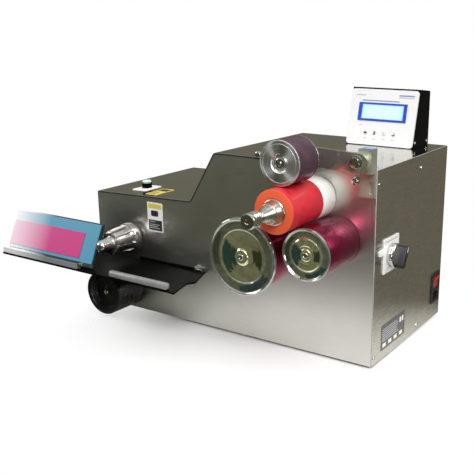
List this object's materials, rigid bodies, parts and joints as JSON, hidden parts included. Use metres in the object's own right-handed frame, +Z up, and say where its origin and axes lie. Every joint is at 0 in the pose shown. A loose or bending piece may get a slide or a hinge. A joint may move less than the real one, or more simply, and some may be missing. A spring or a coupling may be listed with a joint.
{
  "type": "hot foil stamping machine",
  "caption": "Bench-top hot foil stamper with a red heated roller, a pressure roller on a swing arm, magenta foil reels and a black feed rest on a brushed steel cabinet.",
  "frame": {"origin": "middle of the whole object's footprint, on the surface it stands on", "axes": "+X to the right along the front face, +Y from the front to the back, +Z up"},
  "size_m": [0.715, 0.446, 0.3928],
  "materials": {
    "stainless": "brushed stainless sheet",
    "polished_steel": "turned and polished steel",
    "aluminium": "turned or rolled aluminium, bright",
    "silicone_red": "red silicone, satin",
    "press_plum": "dark plum rubber, ground smooth",
    "rubber_black": "black rubber",
    "spacer_white": "white heat-resistant plastic",
    "foil_magenta": "metallised magenta foil, wound",
    "black_paint": "satin black paint",
    "black_plastic": "moulded black plastic",
    "motor_grey": "grey paint",
    "panel_white": "white moulded fascia",
    "lcd_blue": "blue display surround",
    "lcd_glass": "back-lit display window",
    "key_dark": "dark rubber key",
    "key_pale": "pale rubber key",
    "lamp_mint": "translucent pale lens",
    "mat_blue": "blue paint on steel",
    "sheet_pink": "pink sheet",
    "rocker_red": "glossy dark red plastic"
  },
  "bodies": {
    "cabinet": {"front_panel": "stainless", "rear_panel": "stainless", "left_panel": "stainless", "deck_cover": "stainless", "slant_cover": "stainless", "top_cover": "stainless", "right_panel": "stainless", "base_pan": "stainless", "pivot_block": "stainless", "bearing_mandrel": "polished_steel", "bearing_guide": "polished_steel", "bearing_takeup": "polished_steel", "bearing_supply": "polished_steel", "bearing_heat": "polished_steel", "pivot_bolt": "polished_steel", "feed_clip": "polished_steel", "shelf_bar": "aluminium", "feed_ledge": "aluminium", "dial_plate": "aluminium", "foot_fl": "rubber_black", "foot_fr": "rubber_black", "foot_bl": "rubber_black", "foot_br": "rubber_black", "shelf": "black_paint", "feed_back": "black_paint", "control_box": "black_plastic", "inlet_body": "black_plastic", "button_collar": "black_plastic", "drive_motor": "motor_grey", "bearing_plate": "motor_grey", "control_fascia": "panel_white", "lcd_frame": "lcd_blue", "lcd_window": "lcd_glass", "feed_plate": "mat_blue", "feed_sheet": "sheet_pink"},
    "pressure_arm": {"press_arm": "stainless", "press_spindle": "polished_steel"},
    "pressure_roller": {"press_body": "press_plum", "press_cap": "aluminium"},
    "heated_roller": {"heat_core": "polished_steel", "heat_sleeve": "silicone_red", "heat_collar": "spacer_white", "heat_knob": "polished_steel"},
    "takeup_reel": {"takeup_flange": "aluminium", "takeup_foil": "foil_magenta", "takeup_shaft": "polished_steel"},
    "supply_reel": {"supply_flange": "aluminium", "supply_foil": "foil_magenta", "supply_shaft": "polished_steel"},
    "mandrel": {"mandrel_cone": "polished_steel", "mandrel_shaft": "polished_steel"},
    "guide": {"guide_roller": "black_plastic", "guide_shaft": "polished_steel"},
    "rocker_switch": {"rocker": "rocker_red"},
    "dial": {"dial_knob": "black_plastic"},
    "push_button": {"button_cap": "lamp_mint"},
    "key_a": {"key_1": "key_dark"},
    "key_b": {"key_2": "key_dark"},
    "key_c": {"key_3": "key_pale"},
    "key_d": {"key_4": "key_pale"}
  },
  "joints": [
    {"name": "heat_spin", "type": "hinge", "parent": "cabinet", "child": "heated_roller", "pos_m": [0.2373, -0.123, 0.253], "axis": [0, -1, 0], "continuous": true},
    {"name": "takeup_spin", "type": "hinge", "parent": "cabinet", "child": "takeup_reel", "pos_m": [0.1665, -0.091, 0.1724], "axis": [0, -1, 0], "continuous": true},
    {"name": "supply_spin", "type": "hinge", "parent": "cabinet", "child": "supply_reel", "pos_m": [0.2725, -0.091, 0.1922], "axis": [0, -1, 0], "continuous": true},
    {"name": "mandrel_spin", "type": "hinge", "parent": "cabinet", "child": "mandrel", "pos_m": [-0.1305, -0.083, 0.138], "axis": [0, -1, 0], "continuous": true},
    {"name": "guide_spin", "type": "hinge", "parent": "cabinet", "child": "guide", "pos_m": [-0.1515, -0.076, 0.0465], "axis": [0, -1, 0], "continuous": true},
    {"name": "arm_swing", "type": "hinge", "parent": "cabinet", "child": "pressure_arm", "pos_m": [0.3115, -0.065, 0.3135], "axis": [0, 1, 0], "range_deg": [0, 35]},
    {"name": "press_spin", "type": "hinge", "parent": "pressure_arm", "child": "pressure_roller", "pos_m": [0.2375, -0.118, 0.3166], "axis": [0, -1, 0], "continuous": true},
    {"name": "rocker_tip", "type": "hinge", "parent": "cabinet", "child": "rocker_switch", "pos_m": [0.3275, 0.2, 0.0685], "axis": [0, 1, 0], "range_deg": [-18, 0]},
    {"name": "dial_turn", "type": "hinge", "parent": "cabinet", "child": "dial", "pos_m": [0.3445, 0.0106, 0.1668], "axis": [1, 0, 0], "range_deg": [-150, 150]},
    {"name": "button_press", "type": "slide", "parent": "cabinet", "child": "push_button", "axis": [0.0298, 0, -0.9996], "range_m": [0, 0.0018], "stiffness_N_per_m": 600},
    {"name": "key_1_press", "type": "slide", "parent": "cabinet", "child": "key_a", "axis": [0, 0.9708, -0.24], "range_m": [0, 0.0008], "stiffness_N_per_m": 500},
    {"name": "key_2_press", "type": "slide", "parent": "cabinet", "child": "key_b", "axis": [0, 0.9708, -0.24], "range_m": [0, 0.0008], "stiffness_N_per_m": 500},
    {"name": "key_3_press", "type": "slide", "parent": "cabinet", "child": "key_c", "axis": [0, 0.9708, -0.24], "range_m": [0, 0.0008], "stiffness_N_per_m": 500},
    {"name": "key_4_press", "type": "slide", "parent": "cabinet", "child": "key_d", "axis": [0, 0.9708, -0.24], "range_m": [0, 0.0008], "stiffness_N_per_m": 500}
  ],
  "couplings": [
    {"joint": "press_spin", "follows": "heat_spin", "ratio": -0.9905},
    {"joint": "takeup_spin", "follows": "heat_spin", "ratio": 0.5796},
    {"joint": "supply_spin", "follows": "heat_spin", "ratio": 0.8575}
  ]
}
